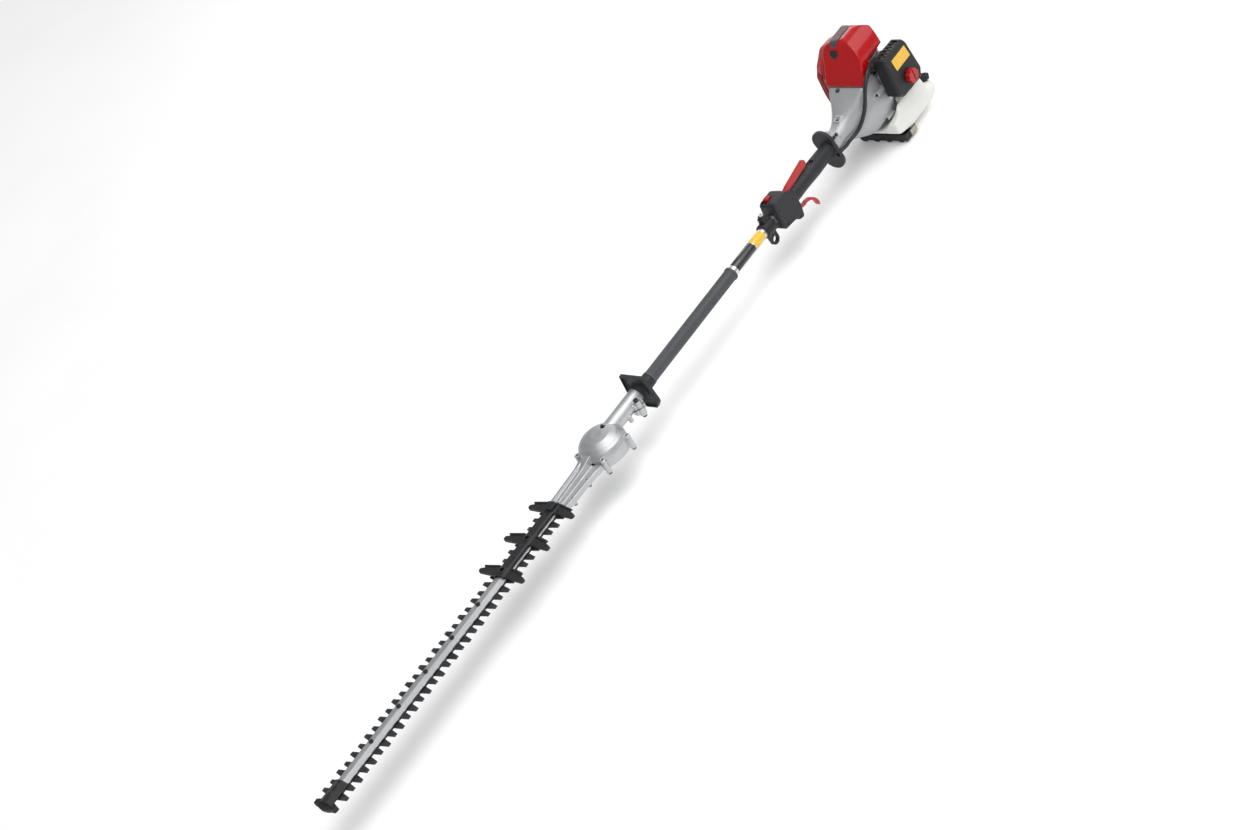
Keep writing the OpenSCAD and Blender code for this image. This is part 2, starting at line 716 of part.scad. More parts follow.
module flywheel_fan() {
    color("lightgray") translate([0, 0, axis_h]) difference() {
        union() {
            xcyl(22, 8, fan_r);
            xcyl(22, 34, 18);
            for (i = [0 : 15]) rotate([i * 360 / 16, 0, 0])
                block([29, 24, -1.2], [48, fan_r - 1, 1.2]);
            xcyl(50, 6, 25);
            for (a = [0, 180], s = [-1, 1]) rotate([a, 0, 0])
                xcyl_at([55, s * shoe_pin[0], shoe_pin[1]], 24, 3.5);
        }
        xcyl(15, 60, 7 + fit);
    }
}

module crankshaft() {
    pin_h = 14;
    color("silver") translate([0, 0, axis_h]) {
        xcyl(cyl_x + 11, 60, 7);
        xcyl(-74, 74 + cyl_x - 11, 7);
        for (x = [cyl_x - 12, cyl_x + 6]) difference() {
            xcyl(x, 6, 27);
            block([x - 1, -30, 20], [x + 7, 30, 30]);
        }
        xcyl_at([cyl_x - 7, 0, pin_h], 14, 5);
    }
}

module crankcase() {
    color("#b9bcbe") translate([0, 0, axis_h]) difference() {
        union() {
            xcyl(-42, 52, case_r);
            xcyl(4, fan_x0 - 4 - fit, fan_housing_r - 1);
            block([cyl_x - 26, -26, 20], [cyl_x + 26, 26, 47.9]);
            for (a = housing_boss_angles) rotate([a, 0, 0])
                xcyl_at([0, fan_housing_r - 5, 0], fan_x0 - 0.6, 7);
        }
        xcyl(cyl_x - 14, 28, 30);
        translate([cyl_x, 0, 0]) cylinder(h = 60, r = bore_r + 3.5);
        xcyl(-60, 100, 7 + fit);
        // Room for the cylinder fins above the flange
        block([3, -37, 47.5], [fan_x0 + 1, 37, 70]);
    }
}

module cylinder_block() {
    difference() {
        union() {
            translate([cyl_x, 0, 30]) cylinder(h = 76, r = bore_r + 3);
            translate([cyl_x, 0, 48]) for (i = [0 : 9]) translate([-34, -34, i * 7])
                linear_extrude(2.4) polygon(round_rect([0, 0], [68, 68], 12));
            translate([cyl_x, 0, 48]) cylinder(h = 67, r = 23);
            translate([cyl_x, 0, 60]) block([-15, 20, 0], [15, 38, 22]);
            translate([cyl_x, 0, 62]) block([-15, -38, 0], [15, -20, 22]);
        }
        translate([cyl_x, 0, 20]) cylinder(h = 82, r = bore_r + fit);
        translate([cyl_x, 0, 100]) cylinder(h = 30, r = 6 + fit);
        translate([cyl_x, 0, 71]) ycyl(12, 40, 6);
        translate([cyl_x, 0, 73]) ycyl(-50, 40, 7);
    }
}

module cylinder_node() {
    color("#8d9092") translate([0, 0, axis_h]) cylinder_block();
}

module piston() {
    color("silver") translate([cyl_x, 0, axis_h + 76]) difference() {
        union() {
            cylinder(h = 24, r = bore_r - 0.1);
            translate([0, 0, 24]) cylinder(h = 1.6, r1 = bore_r - 0.1, r2 = bore_r - 3);
        }
        translate([0, 0, -1]) cylinder(h = 18, r = bore_r - 3.5);
        translate([0, 0, 19]) rotate_extrude() translate([bore_r - 1.2, 0]) square([2, 1.5]);
        translate([0, 0, 9]) rotate([0, 90, 0]) cylinder(h = 60, r = 4, center = true);
    }
}

module ignition_coil() {
    color("#222222") translate([0, 0, axis_h]) {
        block([22, -15, 56], [38, 15, 65.5]);
        for (y = [-15, 9]) block([26, y, fan_r + 1.2], [34, y + 6, 56 + eps]);
    }
}

module cover_profile(grow) {
    polygon(concat([[-58 - grow, 66]], arc([-28, cover_top - 32], 30 + grow, 180, 95, 7),
        arc([6, cover_top - 22], 20 + grow, 88, 20, 6), [[61 + grow, 66]]));
}

module cover_section(grow) {
    polygon(concat([[-50 - grow, 66]], arc([-26, cover_top - 28], 24 + grow, 185, 95, 6),
        arc([-2, cover_top - 54], 52 + grow, 90, 0, 12), [[50 + grow, 66]]));
}

module cover_solid(grow) {
    intersection() {
        xz_plate(-90, 90) cover_profile(grow - 2);
        yz_plate(-90, 90) cover_section(grow - 2);
    }
}

module engine_cover() {
    color("red") translate([0, 0, axis_h]) difference() {
        cover_solid(2);
        difference() {
            cover_solid(-0.4);
            block([-100, -100, 0], [100, 100, 66 - eps]);
        }
        block([-100, -100, 60], [100, 100, 66]);
        // Opening on the carburettor side, under the lip of the top
        xz_plate(24, 90) polygon([[-100, 60], [56, 60], [50, 70], [10, 99], [-100, 104]]);
        // Slanted rear corner of that lip
        translate([0, 0, 60]) linear_extrude(100)
            polygon([[-100, 18], [-58, 18], [-34, 62], [-34, 100], [-100, 100]]);
        // Opening on the muffler side
        block([-44, -90, 60], [36, -40, 112]);
        translate([-20, 0, 60]) block([-60, -30, 0], [-34, 30, 36]);
    }
}

module cover_inset() {
    color("#3c3f41") translate([0, 0, axis_h]) difference() {
        intersection() {
            cover_solid(3.4);
            translate([0, 0, 60]) linear_extrude(120) polygon(concat(
                arc([14, -18], 11, -90, 90, 8), arc([-28, -18], 11, 90, 270, 8)));
        }
        cover_solid(2.05);
    }
}

module cover_badge() {
    color("#151515") translate([0, 0, axis_h]) difference() {
        intersection() {
            cover_solid(4);
            yz_plate(0, 90) polygon([[-29, 135], [-8, 135], [-9, 124], [-18, 117], [-28, 124]]);
        }
        cover_solid(2.05);
    }
}

module muffler() {
    color("#7b7d7f") translate([0, 0, axis_h]) difference() {
        union() {
            xz_plate(-74, -42) polygon(round_rect([-40, 40], [12, 104], 9));
            translate([cyl_x, 0, 73]) block([-12, -42 - eps, -10], [12, -38.2, 10]);
        }
        xz_plate(-72.5, -43.5) polygon(round_rect([-38.5, 41.5], [10.5, 102.5], 7));
        translate([cyl_x, 0, 73]) ycyl(-46, 20, 7);
        translate([-30, 0, 55]) ycyl(-80, 20, 5);
    }
}

module guard_outline() {
    polygon(concat([[50, 78], [51, 30], [48, 2], [40, -6], [-30, 0]],
        arc([-42, 12], 12, 260, 190, 4), arc([-36, 107], 18, 180, 95, 6),
        arc([-6, 109], 18, 85, 40, 4), [[34, 101]]));
}

module muffler_guard() {
    outer_y = -84;
    color("#c0252a") translate([0, 0, axis_h]) difference() {
        hull() {
            xz_plate(-64, -50.4) guard_outline();
            xz_plate(outer_y, outer_y + 4) offset(delta = -9) guard_outline();
        }
        hull() {
            xz_plate(-64, -50) offset(delta = -2.5) guard_outline();
            xz_plate(outer_y + 2.5, outer_y + 4) offset(delta = -11) guard_outline();
        }
        // Upright louvres in the front
        for (i = [0 : 3]) block([20, -63 - i * 5.5, 8], [100, -60.5 - i * 5.5, 86]);
        xcyl(fan_x0 - 60, 130, fan_housing_r + 9);
    }
}

module spark_plug() {
    color("white") translate([cyl_x, 0, axis_h]) {
        translate([0, 0, 103]) cylinder(h = 14, r = 6);
        translate([0, 0, 117]) cylinder(h = 5, r = 8, $fn = 6);
        translate([0, 0, 122]) cylinder(h = 8, r = 4);
    }
}

module plug_cap() {
    color("#1c1c1c") translate([cyl_x, 0, axis_h]) difference() {
        union() {
            translate([0, 0, 122.5]) cylinder(h = 20, r = 7);
            translate([0, 0, 136]) rotate([0, -90, 0]) cylinder(h = 20, r = 5);
        }
        translate([0, 0, 120]) cylinder(h = 10.2, r = 4 + fit);
    }
}

module carburettor() {
    color("#a9acae") translate([cyl_x, 0, axis_h + 71]) {
        difference() {
            union() {
                block([-14, 38.1, -14], [14, 60, 14]);
                block([-10, 42, -22], [10, 56, -13]);
                translate([0, 50, 13]) cylinder(h = 6, r = 6);
            }
            ycyl(30, 40, 6);
        }
    }
}

// Outline of the air cleaner seen from the side
module cleaner_outline(shrink) {
    offset(delta = -shrink) polygon([[17, 98], [19, 92], [20, 8], [6, -4], [-62, -7],
        [-74, 13], [-64, 86], [-58, 96]]);
}

module air_cleaner_base() {
    color("#2a2a2a") translate([0, 0, axis_h]) difference() {
        xz_plate(60.2, 64) cleaner_outline(3);
        translate([cyl_x, 0, 71]) ycyl(50, 30, 6);
        translate([-31, 0, 23]) ycyl(50, 30, 3 + fit);
    }
}

module air_cleaner_cover() {
    face_y = 92;
    color("#1e1f20") translate([0, 0, axis_h]) difference() {
        union() {
            xz_plate(60, 88) cleaner_outline(0);
            xz_plate(88 - eps, face_y) cleaner_outline(2.5);
        }
        xz_plate(59, face_y - 2.5) cleaner_outline(2.9);
        translate([-31, 0, 23]) ycyl(50, 60, 3 + fit);
        // Inlet slots in the top
        for (i = [0 : 5]) translate([-52 + i * 11, 0, 0]) block([0, 66, 90], [4, 82, 110]);
    }
}

module cleaner_label() {
    color("#e6a817") translate([0, 0, axis_h]) xz_plate(92.02, 92.35)
        polygon([[0, 84], [-52, 84.5], [-57, 56.5], [-4, 56]]);
}

module air_filter() {
    color("#8a8f60") translate([0, 0, axis_h]) difference() {
        xz_plate(64.1, 84) cleaner_outline(8);
        translate([-31, 0, 23]) ycyl(50, 50, 6);
    }
}

module cleaner_knob() {
    color("red") translate([-31, 0, axis_h + 23]) difference() {
        union() {
            ycyl(92.2, 12, 14.5);
            for (i = [0 : 9]) rotate([0, i * 36, 0]) translate([14.2, 0, 0]) ycyl(92.7, 11, 2.2);
            ycyl(61, 32, 3);
        }
        block([-1.7, 101, -20], [1.7, 110, 20]);
    }
}

module tank_side() {
    polygon(concat([[44, -48]], arc([32, -66], 13, 10, -60, 5), [[20, -83]],
        arc([-6, -90.5], 10, 20, -70, 4), arc([-74, -60], 40, -95, -178, 9),
        [[-114.5, -58], [-88, -56], [-78, -14], [14, -12], [24, -40]]));
}

module tank_end() {
    polygon(concat([[-52, -60]], arc([-32, -80], 20, 185, 265, 6),
        arc([39, -70], 30, -85, 0, 8), arc([58, -24], 11, 0, 85, 5),
        [[52, -12], [50, -44], [-44, -44]]));
}

module tank_solid(shrink) {
    intersection() {
        xz_plate(-90, 90) offset(delta = -shrink) tank_side();
        yz_plate(-150, 90) offset(delta = -shrink) tank_end();
    }
}

// Places children on the tilted filler neck
module at_neck() {
    translate([-98, 46, -62]) rotate([4, -22, 0]) children();
}

module fuel_tank() {
    color("white") translate([0, 0, axis_h]) difference() {
        union() {
            difference() {
                tank_solid(0);
                xcyl(-150, 300, 48);
                xcyl(fan_x0 - 14, 100, fan_housing_r + 9);
                block([18, -40, -120], [70, -16, -40]);
            }
            at_neck() cylinder(h = 14, r = 15);
        }
        difference() {
            tank_solid(2.5);
            xcyl(-150, 300, 50.5);
            xcyl(fan_x0 - 16.5, 100, fan_housing_r + 11.5);
            block([15.5, -42.5, -120], [72, -13.5, -40]);
        }
        at_neck() translate([0, 0, -6]) cylinder(h = 40, r = 12.5);
    }
}

module fuel_cap() {
    color("#222222") translate([0, 0, axis_h]) at_neck() difference() {
        union() {
            translate([0, 0, 14.3]) cylinder(h = 12, r = 16);
            for (i = [0 : 17]) rotate([0, 0, i * 20]) translate([16, 0, 14.3]) cylinder(h = 12, r = 1.4);
            translate([0, 0, 4]) cylinder(h = 12, r = 12.2);
        }
        translate([0, 0, 2]) cylinder(h = 8, r = 9);
        translate([0, 0, 23]) difference() {
            cylinder(h = 5, r = 13);
            block([-20, -2.5, -1], [20, 2.5, 6]);
        }
    }
}

module engine_stand() {
    bump_ys = [for (i = [0 : 3]) -50 + i * 32.5];
    color("#222222") translate([0, 0, axis_h]) difference() {
        union() {
            block([-12, -60, -104.5], [30, 66, -101]);
            block([-94, -54, -104], [-12 + eps, 18, -101]);
            for (y = bump_ys) {
                xcyl_at([-12, y, -98], 42, 10.5);
                block([-12, y - 12, -101], [30, y + 12, -95]);
            }
            for (y = [-44, 8]) xcyl_at([-94, y, -98], 8, 10.5);
            block([22, -60, -101], [30, 66, -88]);
            block([-12, 63, -104], [30, 66, -89]);
            block([20, -38, -104], [30, -18, -50]);
            // Flat rail under the middle, level with the bumps
            block([-60, -7, -axis_h], [16, 7, -103]);
        }
        xcyl(-100, 150, fan_housing_r + 0.2);
        block([-120, -90, -130], [60, 100, -axis_h]);
        // Seat of the tank
        block([-120, -90, -101.2], [21.9, 62.9, -70]);
    }
}

module stand_pad() {
    color("#a09a8c") translate([0, 0, axis_h]) block([-10, 66.05, -102], [12, 67.4, -90]);
}

module starter_housing() {
    color("#2a2a2a") translate([0, 0, axis_h]) difference() {
        union() {
            xcyl(-88, 46 - fit, case_r - 1);
            block([-76, -62, 8], [-54, -30, 24]);
        }
        xcyl(-84, 60, case_r - 4.5);
        for (i = [0 : 11]) rotate([i * 30, 0, 0]) block([-90, 22, -2.5], [-80, 36, 2.5]);
        translate([-65, 0, 16]) ycyl(-70, 40, 3);
        xcyl(-90, 30, 5 + fit);
    }
}

module starter_pulley() {
    color("#333333") translate([0, 0, axis_h]) difference() {
        union() {
            xcyl(-76, 3, 36);
            xcyl(-74, 12, 28);
            xcyl(-63, 3, 36);
            xcyl(-90, 16, 5);
        }
        xcyl(-74.5, 20, 9);
    }
}

module starter_handle() {
    color("#222222") translate([-65, 0, axis_h + 16]) {
        ycyl(-70, 7.8, 4);
        translate([0, -74, 0]) rotate([90, 0, 0]) linear_extrude(12, center = true)
            polygon(round_rect([-6, -20], [6, 20], 5));
    }
}

upper_blade();
lower_blade();
blade_bar();
bar_bolts();
tip_guard();
wing_guard();
gearcase_upper();
gearcase_lower();
gearcase_bolts();
gearcase_bearings();
eccentric_gear();
pinion();
grease_fitting();
drive_shaft();
shaft_bushes();
main_tube();
label_yellow();
label_black();
front_sleeve();
hand_guard();
harness_bracket();
bracket_screw();
handle_left();
handle_right();
handle_screws();
throttle_trigger();
handle_pins();
lockout_lever();
stop_switch();
throttle_conduit();
clutch_housing();
housing_screws();
clutch_drum();
clutch_shoes();
flywheel_fan();
crankshaft();
crankcase();
cylinder_node();  // cylinder
piston();
ignition_coil();
engine_cover();
cover_inset();
cover_badge();
muffler();
muffler_guard();
spark_plug();
plug_cap();
carburettor();
air_cleaner_base();
air_cleaner_cover();
cleaner_label();
air_filter();
cleaner_knob();
fuel_tank();
fuel_cap();
engine_stand();
stand_pad();
starter_housing();
starter_pulley();
starter_handle();
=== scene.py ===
import json
import math
import bmesh
import bpy
from mathutils import Matrix, Vector


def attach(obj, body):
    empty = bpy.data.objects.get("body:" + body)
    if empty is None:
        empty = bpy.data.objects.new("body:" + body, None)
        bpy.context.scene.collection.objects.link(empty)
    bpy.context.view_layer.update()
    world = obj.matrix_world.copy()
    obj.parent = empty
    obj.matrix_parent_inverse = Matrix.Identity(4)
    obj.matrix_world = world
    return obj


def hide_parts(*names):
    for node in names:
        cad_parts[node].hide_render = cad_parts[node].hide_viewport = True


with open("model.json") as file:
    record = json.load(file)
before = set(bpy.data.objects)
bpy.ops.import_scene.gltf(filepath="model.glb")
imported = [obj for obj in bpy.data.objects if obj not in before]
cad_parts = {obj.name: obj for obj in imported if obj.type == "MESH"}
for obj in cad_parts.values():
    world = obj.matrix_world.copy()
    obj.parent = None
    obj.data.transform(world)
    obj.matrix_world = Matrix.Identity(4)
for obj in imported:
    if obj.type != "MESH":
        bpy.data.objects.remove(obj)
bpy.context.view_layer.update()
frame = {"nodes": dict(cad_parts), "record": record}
NODES = frame["nodes"]
RECORD = frame["record"]
SLOT_OF = {p["node"]: p["material_slot"] for p in RECORD["subparts"]}
BODY_OF = {n: b for b, ns in RECORD["behaviour"]["bodies"].items() for n in ns}
AXIS_H = 0.108          # the pole axis above the ground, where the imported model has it
scene = bpy.context.scene

# ---- Camera ----------------------------------------------------------------

camera = bpy.data.objects.new("camera", bpy.data.cameras.new("camera"))
scene.collection.objects.link(camera)
camera.data.sensor_width = 36.0
camera.data.lens = 62.17
right = Vector((-0.551344, 0.703199, -0.448923))
down = Vector((0.708216, 0.110081, -0.697361))
ahead = Vector((-0.440966, -0.702420, -0.558709))
turn = Matrix((right, -down, -ahead)).transposed()
camera.matrix_world = Matrix.Translation((2.75836, 2.87848, 2.39487)) @ turn.to_4x4()
camera.data.clip_start, camera.data.clip_end = 0.05, 60
scene.camera = camera


# ---- Materials -------------------------------------------------------------

def node_tree(name):
    m = bpy.data.materials.new(name)
    m.use_nodes = True
    return m, m.node_tree, m.node_tree.nodes["Principled BSDF"]


def spread(tree, value, lo, hi, to_lo, to_hi):
    """A value between lo and hi, brought to between to_lo and to_hi."""
    n = tree.nodes.new("ShaderNodeMapRange")
    n.inputs["From Min"].default_value, n.inputs["From Max"].default_value = lo, hi
    n.inputs["To Min"].default_value, n.inputs["To Max"].default_value = to_lo, to_hi
    tree.links.new(value, n.inputs["Value"])
    return n.outputs["Result"]


def noise(tree, coords, scale, detail=3.0, rough=0.55, stretch=None):
    if stretch:
        m = tree.nodes.new("ShaderNodeMapping")
        m.inputs["Scale"].default_value = stretch
        tree.links.new(coords, m.inputs["Vector"])
        coords = m.outputs["Vector"]
    n = tree.nodes.new("ShaderNodeTexNoise")
    n.inputs["Scale"].default_value = scale
    n.inputs["Detail"].default_value = detail
    n.inputs["Roughness"].default_value = rough
    tree.links.new(coords, n.inputs["Vector"])
    return n.outputs["Fac"]


def mix_colour(tree, factor, a, b):
    n = tree.nodes.new("ShaderNodeMix")
    n.data_type = "RGBA"
    for socket, c in ((n.inputs[6], a), (n.inputs[7], b)):
        if isinstance(c, tuple):
            socket.default_value = (*c[:3], 1)
        else:
            tree.links.new(c, socket)
    tree.links.new(factor, n.inputs[0])
    return n.outputs[2]


def tint(c, k):
    return tuple(min(1.0, x * k) for x in c)


def finish_of(name, colour, rough=0.5, metal=0.0, coat=0.0, specular=0.5, vary=0.12, patch=25.0,
              grain=1400.0, grain_depth=0.00003, cells=0.0, cell_depth=0.00005, streak=None,
              streak_depth=0.00002, rub=0.0, rub_colour=None, dust=0.0, dust_colour=(0.42, 0.40, 0.36),
              rough_vary=0.12, scratches=0.0, subsurface=0.0, anisotropic=0.0, coat_rough=0.05):
    """A surface with its own grain, patches, rubbed edges and settled dust."""
    m, t, bsdf = node_tree(name)
    coords = t.nodes.new("ShaderNodeTexCoord").outputs["Object"]
    geometry = t.nodes.new("ShaderNodeNewGeometry")
    patches = noise(t, coords, patch, 4.0)
    fine = noise(t, coords, patch * 9, 3.0)
    base = mix_colour(t, spread(t, patches, 0.3, 0.7, 0, 1), tint(colour, 1 - vary), tint(colour, 1 + vary))
    base = mix_colour(t, spread(t, fine, 0.45, 0.8, 0, 0.35), base, tint(colour, 1 + vary * 1.6))
    roughness = spread(t, fine, 0.25, 0.75, max(0.02, rough - rough_vary / 2), min(1, rough + rough_vary / 2))
    heights = []
    if grain:
        heights.append((noise(t, coords, grain, 2.0, 0.6), grain_depth))
    if cells:
        v = t.nodes.new("ShaderNodeTexVoronoi")
        v.feature = "SMOOTH_F1"
        v.inputs["Scale"].default_value = cells
        v.inputs["Smoothness"].default_value = 0.6
        t.links.new(coords, v.inputs["Vector"])
        heights.append((v.outputs["Distance"], cell_depth))
    if streak:
        s = noise(t, coords, 1.0, 3.0, 0.6, streak)
        heights.append((s, streak_depth))
        roughness = spread(t, s, 0.3, 0.7, max(0.02, rough - rough_vary), min(1, rough + rough_vary))
        base = mix_colour(t, spread(t, s, 0.35, 0.75, 0, 0.5), base, tint(colour, 1 + vary * 1.5))
    if scratches:
        lines = noise(t, coords, 1.0, 2.0, 0.5, (60, 1800, 1400))
        thin = spread(t, lines, 0.66, 0.72, 0, scratches)
        base = mix_colour(t, thin, base, tint(colour, 1.8))
    if dust:
        up = t.nodes.new("ShaderNodeSeparateXYZ")
        t.links.new(geometry.outputs["Normal"], up.inputs[0])
        level = spread(t, up.outputs["Z"], 0.35, 1.0, 0.0, 1.0)
        speck = spread(t, noise(t, coords, 260, 5.0, 0.7), 0.48, 0.74, 0, dust)
        both = t.nodes.new("ShaderNodeMath")
        both.operation = "MULTIPLY"
        t.links.new(level, both.inputs[0])
        t.links.new(speck, both.inputs[1])
        base = mix_colour(t, both.outputs[0], base, dust_colour)
    if rub:
        edge = spread(t, geometry.outputs["Pointiness"], 0.515, 0.575, 0.0, 1.0)
        broken = spread(t, noise(t, coords, 420, 4.0, 0.65), 0.38, 0.62, 0.25, 1.0)
        both = t.nodes.new("ShaderNodeMath")
        both.operation = "MULTIPLY"
        t.links.new(edge, both.inputs[0])
        t.links.new(broken, both.inputs[1])
        share = spread(t, both.outputs[0], 0, 1, 0, rub)
        base = mix_colour(t, share, base, rub_colour or tint(colour, 1.7))
    t.links.new(base, bsdf.inputs["Base Color"])
    t.links.new(roughness, bsdf.inputs["Roughness"])
    normal = None
    for height, depth in heights:
        b = t.nodes.new("ShaderNodeBump")
        b.inputs["Strength"].default_value = 1.0
        b.inputs["Distance"].default_value = depth
        t.links.new(height, b.inputs["Height"])
        if normal:
            t.links.new(normal, b.inputs["Normal"])
        normal = b.outputs["Normal"]
    if normal:
        t.links.new(normal, bsdf.inputs["Normal"])
    bsdf.inputs["Metallic"].default_value = metal
    bsdf.inputs["Specular IOR Level"].default_value = specular
    bsdf.inputs["Coat Weight"].default_value = coat
    bsdf.inputs["Coat Roughness"].default_value = coat_rough
    bsdf.inputs["Anisotropic"].default_value = anisotropic
    if subsurface:
        bsdf.inputs["Subsurface Weight"].default_value = subsurface
        bsdf.inputs["Subsurface Radius"].default_value = (0.01, 0.009, 0.007)
        bsdf.inputs["Subsurface Scale"].default_value = 1.0
    return m


ALONG_X = (30, 2400, 2400)
ALONG_Y = (2200, 26, 2200)
AROUND_X = (1900, 40, 40)

FINISHES = {
    "blade_steel": dict(colour=(0.034, 0.035, 0.038), rough=0.40, metal=0.75, vary=0.3,
        streak=ALONG_Y, streak_depth=0.00003, grain=900, rub=0.5, rub_colour=(0.22, 0.22, 0.23),
        patch=40),
    "bar_aluminium": dict(colour=(0.40, 0.405, 0.415), rough=0.44, metal=0.7, vary=0.08,
        streak=ALONG_X, streak_depth=0.00002, grain=0, anisotropic=0.4, rub=0.3,
        rub_colour=(0.9, 0.9, 0.91)),
    "black_steel": dict(colour=(0.03, 0.031, 0.034), rough=0.34, metal=0.6, vary=0.25, grain=1700,
        rub=0.45, rub_colour=(0.3, 0.3, 0.31), patch=90),
    "guard_plastic": dict(colour=(0.013, 0.0135, 0.015), rough=0.50, specular=0.35, vary=0.15,
        cells=1500, cell_depth=0.00006, rub=0.35, rub_colour=(0.13, 0.13, 0.14), dust=0.05),
    "cast_aluminium": dict(colour=(0.50, 0.51, 0.52), rough=0.46, metal=0.8, vary=0.06, grain=1300,
        grain_depth=0.00005, cells=420, cell_depth=0.00003, rub=0.5, rub_colour=(0.88, 0.88, 0.89),
        rough_vary=0.16),
    "bearing_steel": dict(colour=(0.6, 0.6, 0.61), rough=0.22, metal=1.0, vary=0.05,
        streak=AROUND_X),
    "gear_steel": dict(colour=(0.5, 0.5, 0.51), rough=0.3, metal=1.0, vary=0.08, streak=AROUND_X),
    "bush_plastic": dict(colour=(0.09, 0.09, 0.09), rough=0.5, cells=1600),
    "tube_aluminium": dict(colour=(0.66, 0.67, 0.69), rough=0.30, metal=1.0, vary=0.05,
        streak=ALONG_X, streak_depth=0.000015, grain=0, anisotropic=0.5, scratches=0.12,
        rough_vary=0.1),
    "yellow_film": dict(colour=(0.86, 0.50, 0.02), rough=0.28, vary=0.04, grain=700,
        grain_depth=0.00001, coat=0.4),
    "black_film": dict(colour=(0.018, 0.018, 0.021), rough=0.26, vary=0.1, grain=700,
        grain_depth=0.00001, coat=0.4, scratches=0.1),
    "sleeve_rubber": dict(colour=(0.062, 0.066, 0.072), rough=0.5, specular=0.35, vary=0.07,
        cells=1800, cell_depth=0.00004, dust=0.06, rub=0.3, rub_colour=(0.22, 0.225, 0.23)),
    "handle_plastic": dict(colour=(0.019, 0.020, 0.023), rough=0.50, specular=0.35, vary=0.12,
        cells=1700, cell_depth=0.00007, rub=0.35, rub_colour=(0.16, 0.165, 0.17), dust=0.05),
    "bracket_plastic": dict(colour=(0.013, 0.013, 0.015), rough=0.47, specular=0.35, vary=0.15,
        cells=1500, cell_depth=0.00006, rub=0.35, rub_colour=(0.14, 0.14, 0.15)),
    "zinc_screw": dict(colour=(0.62, 0.62, 0.6), rough=0.3, metal=1.0, vary=0.08, grain=1600,
        rub=0.4),
    "red_plastic": dict(colour=(0.44, 0.006, 0.009), rough=0.33, vary=0.08, cells=1500,
        cell_depth=0.00003, coat=0.15, rub=0.3, rub_colour=(0.75, 0.12, 0.1)),
    "conduit_plastic": dict(colour=(0.014, 0.014, 0.016), rough=0.42, vary=0.15, grain=1500),
    "housing_aluminium": dict(colour=(0.40, 0.41, 0.42), rough=0.42, metal=0.35, vary=0.05,
        grain=1500, grain_depth=0.00004, cells=700, cell_depth=0.00002, rub=0.5,
        rub_colour=(0.66, 0.66, 0.67), rough_vary=0.12),
    "shoe_iron": dict(colour=(0.22, 0.2, 0.18), rough=0.6, metal=1.0, vary=0.15, grain=1000),
    "cylinder_aluminium": dict(colour=(0.33, 0.34, 0.35), rough=0.55, metal=1.0, vary=0.1,
        grain=1000, grain_depth=0.0001, rub=0.4),
    "piston_aluminium": dict(colour=(0.7, 0.7, 0.7), rough=0.3, metal=1.0, vary=0.05,
        streak=AROUND_X),
    "black_plastic": dict(colour=(0.011, 0.0115, 0.013), rough=0.46, specular=0.35, vary=0.15,
        cells=1600, cell_depth=0.00006, rub=0.35, rub_colour=(0.13, 0.13, 0.14), dust=0.04),
    "red_gloss": dict(colour=(0.43, 0.0015, 0.0035), rough=0.28, specular=0.25, vary=0.04,
        grain=160, grain_depth=0.00001, coat=0.5, rub=0.08, rub_colour=(0.60, 0.04, 0.04),
        rough_vary=0.05),
    "inset_plastic": dict(colour=(0.055, 0.062, 0.070), rough=0.42, vary=0.1, cells=1500,
        cell_depth=0.00004),
    "black_gloss": dict(colour=(0.012, 0.012, 0.013), rough=0.15, vary=0.1, grain=300,
        grain_depth=0.00001, coat=0.5),
    "muffler_steel": dict(colour=(0.34, 0.31, 0.27), rough=0.42, metal=1.0, vary=0.25, grain=900,
        patch=30),
    "red_satin": dict(colour=(0.36, 0.006, 0.010), rough=0.38, vary=0.07, cells=1500,
        cell_depth=0.00004, rub=0.3, rub_colour=(0.66, 0.12, 0.1), dust=0.04),
    "plug_porcelain": dict(colour=(0.82, 0.81, 0.77), rough=0.15, vary=0.03, grain=600,
        grain_depth=0.00001),
    "cap_rubber": dict(colour=(0.022, 0.022, 0.024), rough=0.5, vary=0.1, cells=1300),
    "carb_zinc": dict(colour=(0.5, 0.5, 0.5), rough=0.45, metal=1.0, vary=0.08, grain=1200),
    "filter_foam": dict(colour=(0.22, 0.24, 0.13), rough=0.9, vary=0.2, grain=900,
        grain_depth=0.0003, cells=900, cell_depth=0.0003),
    "tank_plastic": dict(colour=(0.86, 0.85, 0.80), rough=0.36, vary=0.03, grain=800,
        grain_depth=0.00003, subsurface=0.35, rough_vary=0.1),
    "pad_felt": dict(colour=(0.42, 0.39, 0.32), rough=0.85, vary=0.15, grain=1100,
        grain_depth=0.0002),
    "stand_plastic": dict(colour=(0.012, 0.012, 0.014), rough=0.48, specular=0.35, vary=0.15,
        cells=1500, cell_depth=0.00006, rub=0.4, rub_colour=(0.14, 0.14, 0.14), dust=0.05),
}
MATS = {name: finish_of(name, **finish) for name, finish in FINISHES.items()}

for n, o in NODES.items():
    o.data.materials.clear()
    o.data.materials.append(MATS[SLOT_OF[n]])


# ---- Mesh helpers ----------------------------------------------------------

def new_object(name, mesh):
    o = bpy.data.objects.new(name, mesh)
    scene.collection.objects.link(o)
    return o


def mesh_from(name, points, faces):
    me = bpy.data.meshes.new(name)
    me.from_pydata([tuple(p) for p in points], [], [tuple(f) for f in faces])
    me.update()
    return me


def bake(o):
    """The mesh that o's modifiers make becomes its own mesh."""
    dg = bpy.context.evaluated_depsgraph_get()
    made = bpy.data.meshes.new_from_object(o.evaluated_get(dg))
    o.modifiers.clear()
    old, o.data = o.data, made
    if old.users == 0:
        bpy.data.meshes.remove(old)
    return o


